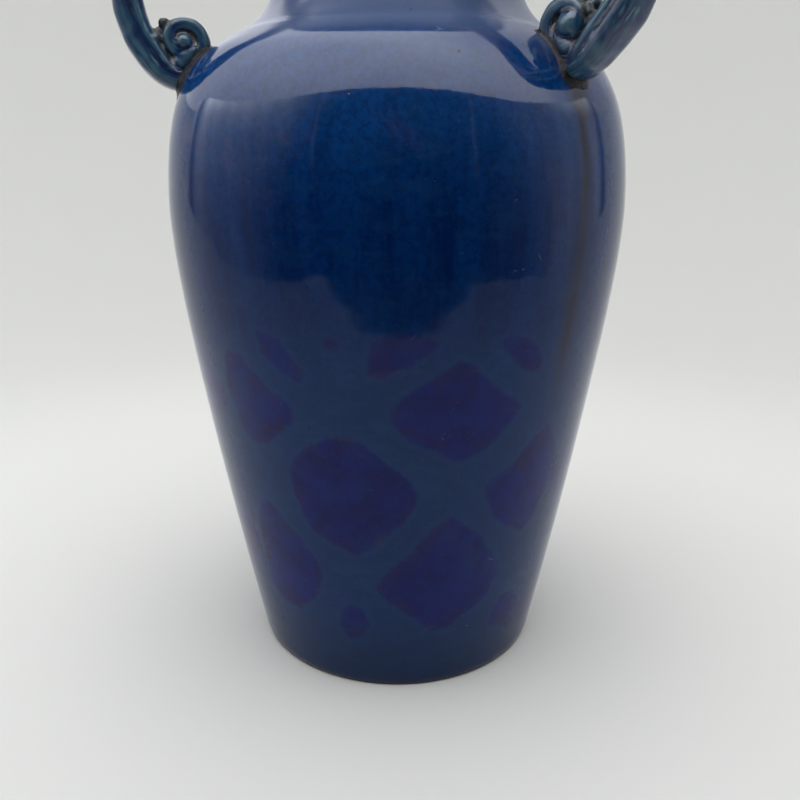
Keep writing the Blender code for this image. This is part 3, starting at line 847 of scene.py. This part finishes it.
def handle_material():
    t = Tree("teal_strap_glaze")
    dip = t.attr("dip_mm")
    wall = t.attr("wall_mm")
    lane = t.nt.nodes.new("ShaderNodeCombineXYZ")
    t.put(lane.inputs[0], t.attr("lane_x"))
    t.put(lane.inputs[1], t.attr("lane_y"))
    t.put(lane.inputs[2], t.math("MULTIPLY", t.attr("along_mm"), 0.030))
    streak = t.noise(2.6, 4, 0.62, lane.outputs[0], distortion=0.25)
    vein = t.noise(5.5, 3, 0.6, lane.outputs[0], distortion=0.4)
    cloud = t.noise(90, 5, 0.65, distortion=0.6)
    wide = t.noise(38, 4, 0.6, distortion=0.8)
    fine = t.noise(420, 3, 0.6)
    base = t.mix(t.step(streak, 0.36, 0.62), (0.006, 0.018, 0.084), (0.014, 0.066, 0.138))
    base = t.mix(t.math("MULTIPLY", t.step(wide, 0.48, 0.66), 0.55), base, (0.066, 0.064, 0.132))
    pale = t.math("MULTIPLY", t.step(vein, 0.53, 0.68), t.step(cloud, 0.38, 0.60))
    base = t.mix(t.math("MULTIPLY", pale, 0.80), base, (0.125, 0.220, 0.255))
    base = t.mix(t.math("MULTIPLY", t.step(fine, 0.50, 0.75), 0.35), base, (0.035, 0.095, 0.150))
    jitter = t.math("MULTIPLY_ADD", t.math("SUBTRACT", cloud, 0.5), 0.14, dip)
    # paler on the ridges: partly glaze running thin over edges, partly a painted highlight
    ridge = t.step(jitter, -0.13, -0.030, (1.0, 0.0))
    base = t.mix(t.math("MULTIPLY", ridge, 0.62), base, (0.088, 0.185, 0.230))
    hollow = t.step(jitter, 0.000, 0.045)
    base = t.mix(t.math("MULTIPLY", hollow, 0.65), base, (0.006, 0.014, 0.058))
    pooled = t.step(jitter, 0.035, 0.105)
    # painted shade: darker where the handle comes close to the pot wall
    near = t.step(t.math("MULTIPLY_ADD", t.math("SUBTRACT", cloud, 0.5), 3.0, wall), 0.3, 3.0, (1.0, 0.0))
    olive = t.mix(t.step(fine, 0.38, 0.66), (0.008, 0.010, 0.009), (0.048, 0.050, 0.036))
    colour = t.mix(t.math("MULTIPLY", pooled, 0.92), base, olive)
    crusty = t.step(t.math("MULTIPLY_ADD", t.math("SUBTRACT", cloud, 0.5), 2.4, t.attr("crust_mm")), 0.2, 1.5, (1.0, 0.0))
    colour = t.mix(t.math("MULTIPLY", crusty, 0.85), colour, t.mix(t.step(fine, 0.38, 0.66), (0.010, 0.012, 0.010), (0.044, 0.046, 0.034)))
    # the painted shade near the pot wall
    colour = t.mix(t.math("MULTIPLY", near, 0.55), colour, (0.012, 0.013, 0.026))
    rough = t.math("MULTIPLY_ADD", t.noise(90, 3), 0.10, 0.07)
    rough = t.math("MULTIPLY_ADD", pooled, 0.16, rough)
    rough = t.math("MULTIPLY_ADD", crusty, 0.35, rough)
    peel = t.bump(t.noise(260, 3, 0.6), 0.30, 0.00025)
    crust = t.bump(t.math("MULTIPLY", t.noise(520, 3, 0.7), pooled), 0.6, 0.0006, peel)
    normal = t.bump(streak, 0.35, 0.0006, crust)
    return t.finish(colour, rough, normal, ior=1.365)


def luting_material():
    t = Tree("pooled_brown_glaze")
    seam = t.attr("seam")
    cloud = t.noise(160, 4, 0.6)
    x = t.math("MULTIPLY_ADD", t.math("SUBTRACT", cloud, 0.5), 0.7, seam)
    colour = t.mix(t.step(cloud, 0.35, 0.7), (0.010, 0.010, 0.010), (0.034, 0.030, 0.024))
    colour = t.mix(t.step(x, 0.20, 0.50, (0.75, 0.0)), colour, (0.006, 0.006, 0.006))
    tail = t.attr("tail")
    edge = t.math("MULTIPLY", t.step(x, 0.50, 0.80), t.step(x, 0.95, 1.3, (1.0, 0.0)))
    edge = t.math("MULTIPLY", edge, t.step(tail, 0.0, 1.0, (1.0, 0.25)))
    colour = t.mix(t.math("MULTIPLY", edge, 0.70), colour, (0.085, 0.072, 0.080))
    colour = t.mix(t.math("MULTIPLY", t.step(x, 0.95, 1.35), t.step(tail, 0.0, 1.0, (1.0, 0.3))), colour, (0.020, 0.034, 0.085))
    blue = t.math("MULTIPLY", t.step(t.noise(210, 4, 0.65, distortion=0.6), 0.49, 0.60), t.step(x, 0.15, 0.6))
    colour = t.mix(t.math("MULTIPLY", blue, 0.65), colour, (0.010, 0.026, 0.070))
    colour = t.mix(t.math("MULTIPLY", tail, 0.55), colour, (0.024, 0.019, 0.022))
    rough = t.math("MULTIPLY_ADD", t.noise(90, 3), 0.20, 0.14)
    normal = t.bump(t.noise(480, 4, 0.7), 0.75, 0.0007)
    return t.finish(colour, rough, normal, ior=1.17)


# --------------------------------------------------------------------------
# Build the object
# --------------------------------------------------------------------------
pot = build_pot()
glaze = pot_material()
pot.data.materials.append(glaze)
pot.data.materials.append(clay_material())
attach(pot, "root")
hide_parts("belly", "neck_and_mouth")

strap_glaze, pooled = handle_material(), luting_material()
for where, hand in HANDLES.items():
    turn = math.radians(hand[0])
    handle = build_handle(where, hand, 0.00045)
    lutings = (
        build_luting(f"shoulder_seam_{where}", hand, handle, (2.600 + hand[2]) * R,
                     0.0135, 0.0215, {"right": 0.0012, "left": 0.0027, "back": 0.0019}[where],
                     {"right": 0.0011, "left": 0.0021, "back": 0.0014}[where],
                     {"right": 1.1, "left": 0.2, "back": 0.6}[where]),
        build_luting(f"neck_seam_{where}", hand, handle, (3.085 + hand[2]) * R,
                     0.0120, 0.0115, 0.0022, 0.0018),
    )
    for obj, mat, node, slot in (
        (handle, strap_glaze, f"handle_{where}", "teal_glaze"),
        (lutings[0], pooled, f"shoulder_luting_{where}", "pooled_brown_glaze"),
        (lutings[1], pooled, f"neck_luting_{where}", "pooled_brown_glaze"),
    ):
        c, s = math.cos(turn), math.sin(turn)
        co = coords(obj)
        co = np.stack([co[:, 0] * c - co[:, 1] * s, co[:, 0] * s + co[:, 1] * c, co[:, 2]], 1)
        obj.data.vertices.foreach_set("co", co.astype(np.float32).ravel())
        obj.data.update()
        obj.data.materials.append(mat)
        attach(obj, "root")
        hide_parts(node)


# --------------------------------------------------------------------------
# The studio: a pale sweep and soft light from above
# --------------------------------------------------------------------------
def plain_material(name, colour, rough=0.9):
    t = Tree(name)
    tone = t.noise(9, 3, 0.5)
    c = t.mix(t.math("MULTIPLY", tone, 0.04), colour, tuple(x * 0.93 for x in colour))
    return t.finish(c, rough)


def glow_material(name, attribute_name=None, colour=(1, 1, 1), strength=1.0):
    mat = bpy.data.materials.new(name)
    mat.use_nodes = True
    nt = mat.node_tree
    nt.nodes.clear()
    out = nt.nodes.new("ShaderNodeOutputMaterial")
    em = nt.nodes.new("ShaderNodeEmission")
    em.inputs["Color"].default_value = (*colour, 1)
    em.inputs["Strength"].default_value = strength
    if attribute_name:
        a = nt.nodes.new("ShaderNodeAttribute")
        a.attribute_name = attribute_name
        m = nt.nodes.new("ShaderNodeMath")
        m.operation = "MULTIPLY"
        m.inputs[1].default_value = strength
        nt.links.new(a.outputs["Fac"], m.inputs[0])
        nt.links.new(m.outputs[0], em.inputs["Strength"])
    nt.links.new(em.outputs[0], out.inputs[0])
    return mat


def only_in_reflections(obj):
    obj.visible_camera = False
    obj.visible_diffuse = False
    obj.visible_transmission = False
    obj.visible_volume_scatter = False
    obj.visible_shadow = False


def revolve_stage(name, profile, n=128):
    verts, faces = [], []
    for i, (r, z) in enumerate(profile):
        for j in range(n):
            a = math.tau * j / n
            verts.append((r * math.cos(a), r * math.sin(a), z))
    for i in range(len(profile) - 1):
        for j in range(n):
            k = (j + 1) % n
            faces.append((i * n + j, i * n + k, (i + 1) * n + k, (i + 1) * n + j))
    return mesh_object(name, verts, faces)


sweep_profile = [(0.0001, 0.0), (0.12, 0.0), (0.30, 0.0), (0.50, 0.0)]
sweep_profile += [
    (0.50 + 0.42 * math.sin(a), 0.42 * (1 - math.cos(a)))
    for a in np.radians(np.linspace(7, 90, 13))
] + [(0.92, 0.7), (0.92, 1.2)]
backdrop = revolve_stage("pale_sweep", sweep_profile)
backdrop.data.materials.append(plain_material("pale_paper", (0.765, 0.763, 0.735)))


def front_screen():
    """The dim side of the room, as the glaze mirrors it."""
    n_az, n_z = 300, 64
    az = np.linspace(-114, 114, n_az)
    verts, glow = [], []
    for j in range(n_z):
        v = j / (n_z - 1)
        for a in az:
            ra = math.radians(a)
            dist = np.interp(abs(a), (0, 45, 75, 97, 114), (6.2, 6.4, 7.2, 9.0, 10.2)) * R
            foot_z = (0.05 + 0.10 * math.sin(a * 0.13 + 0.4) + 0.07 * math.sin(a * 0.31)) * R
            rise = np.interp(abs(a), (0, 12, 24, 36, 60, 90, 114), (40, 39.5, 38, 35.5, 29, 25, 23))
            top_z = 2.2 * R + dist * math.tan(math.radians(rise))
            z = foot_z + (top_z - foot_z) * v
            verts.append((dist * math.sin(ra), -dist * math.cos(ra), z))
            g = 0.05 + 0.07 * float(smoothstep(0.45, 1.0, v))
            # a dark dome in the middle, paler cloth to either side of it
            dome = math.hypot((a - 4) / 60, v / 1.04)
            side = float(smoothstep(0.90, 1.28, dome))
            if a < 0:
                g += side * (0.50 + 0.75 * math.exp(-((v - 0.80) / 0.30) ** 2))
                g += 3.8 * float(smoothstep(-36, -66, a)) * float(smoothstep(0.62, 1.03, v)) ** 2.2
            else:
                g += side * (0.42 + 0.22 * math.exp(-((v - 0.80) / 0.30) ** 2))
                g += 0.50 * math.exp(-((a - 84) / 30) ** 2 - ((v - 0.32) / 0.50) ** 2)
                g += 2.2 * float(smoothstep(58, 96, a)) * float(smoothstep(0.70, 1.03, v)) ** 2.2
            g *= 1 + 0.16 * math.sin(a * 0.43 + 1.9 * v) * math.sin(a * 0.19 + 3 * v)
            for seam in (-35.5, 34.0):
                g += 0.75 * math.exp(-((a - seam - 0.8 * math.sin(8 * v)) / 0.55) ** 2) * float(smoothstep(0.35, 0.6, v))
            g *= 1 - 0.75 * math.exp(-((abs(a) - 110) / 3.0) ** 2)
            glow.append(g)
    faces = []
    for j in range(n_z - 1):
        for i in range(n_az - 1):
            a = j * n_az + i
            faces.append((a, a + 1, a + n_az + 1, a + n_az))
    obj = mesh_object("front_screen", verts, faces)
    attribute(obj, "glow", glow)
    obj.data.materials.append(glow_material("dim_screen", "glow", (0.92, 0.95, 1.0), 1.0))
    only_in_reflections(obj)
    obj.visible_diffuse = True


def ceiling_screen():
    """The bright cloth overhead, as the glaze mirrors it."""
    nr, na = 60, 120
    verts, glow, faces = [], [], []
    for i in range(nr):
        r = 11.0 * R * (i + 0.02) / (nr - 1)
        for j in range(na):
            a = math.tau * j / na
            x, y = r * math.cos(a), r * math.sin(a)
            z = (9.0 - 3.4 * (r / (11.0 * R)) ** 2) * R
            verts.append((x, y, z + 0.012 * math.cos(x * 9) * math.cos(y * 7)))
            d = math.hypot(x / (9.5 * R), (y + 3.4 * R) / (5.6 * R))
            g = 1.3 + 7.6 * math.exp(-d * d)
            g *= 0.93 + 0.07 * math.sin(11 * x + 3 * math.sin(6 * y)) * math.sin(9 * y)
            g *= 1 - 0.5 * float(smoothstep(0, 3 * R, x) * smoothstep(-2.5 * R, 1.5 * R, y))
            glow.append(g)
    for i in range(nr - 1):
        for j in range(na):
            k = (j + 1) % na
            faces.append((i * na + j, i * na + k, (i + 1) * na + k, (i + 1) * na + j))
    obj = mesh_object("ceiling_screen", verts, faces)
    attribute(obj, "glow", glow)
    obj.data.materials.append(glow_material("bright_cloth", "glow", (0.96, 0.96, 1.0), 1.0))
    only_in_reflections(obj)


def lens_hood():
    """The dark round surround of the lens, mirrored in the belly."""
    nr, na = 14, 96
    verts, cover, faces = [], [], []
    for i in range(nr + 1):
        e = 1.06 * i / nr
        for j in range(na):
            a = math.tau * j / na
            k = (abs(math.cos(a)) ** 2.6 + abs(math.sin(a)) ** 2.6) ** (-1 / 2.6)
            verts.append(((0.16 + 2.45 * e * k * math.cos(a)) * R, -3.50 * R, (1.62 + 1.22 * e * k * math.sin(a)) * R))
            cover.append(1.0 - float(smoothstep(0.94, 1.06, e)))
    for i in range(nr):
        for j in range(na):
            k = (j + 1) % na
            faces.append((i * na + j, i * na + k, (i + 1) * na + k, (i + 1) * na + j))
    obj = mesh_object("lens_hood", verts, faces)
    attribute(obj, "cover", cover)
    mat = glow_material("dark_hood", None, (0.8, 0.9, 1.0), 0.02)
    nt = mat.node_tree
    em = next(n for n in nt.nodes if n.type == "EMISSION")
    out = next(n for n in nt.nodes if n.type == "OUTPUT_MATERIAL")
    clear = nt.nodes.new("ShaderNodeBsdfTransparent")
    mix = nt.nodes.new("ShaderNodeMixShader")
    att = nt.nodes.new("ShaderNodeAttribute")
    att.attribute_name = "cover"
    gain = nt.nodes.new("ShaderNodeMath")
    gain.operation = "MULTIPLY"
    gain.inputs[1].default_value = 0.92
    nt.links.new(att.outputs["Fac"], gain.inputs[0])
    nt.links.new(gain.outputs[0], mix.inputs[0])
    nt.links.new(clear.outputs[0], mix.inputs[1])
    nt.links.new(em.outputs[0], mix.inputs[2])
    nt.links.new(mix.outputs[0], out.inputs[0])
    obj.data.materials.append(mat)
    only_in_reflections(obj)


front_screen()
ceiling_screen()
lens_hood()


def area(name, location, target, size, power, colour=(1, 1, 1)):
    data = bpy.data.lights.new(name, "AREA")
    data.shape, data.size, data.energy, data.color = "DISK", size, power, colour
    obj = bpy.data.objects.new(name, data)
    obj.location = location
    obj.rotation_mode = "QUATERNION"
    obj.rotation_quaternion = (Vector(target) - Vector(location)).to_track_quat("-Z", "Y")
    obj.visible_glossy = False
    obj.visible_camera = False
    bpy.context.scene.collection.objects.link(obj)
    return obj


area("overhead", (0.0, -0.08, 0.85), (0, 0, 0.1), 0.9, 5.75)

world = bpy.data.worlds.new("studio")
bpy.context.scene.world = world
world.use_nodes = True
world.node_tree.nodes["Background"].inputs["Color"].default_value = (0.92, 0.96, 1.0, 1)
world.node_tree.nodes["Background"].inputs["Strength"].default_value = 0.30
bpy.context.scene.view_settings.view_transform = "Standard"
bpy.context.scene.view_settings.look = "None"
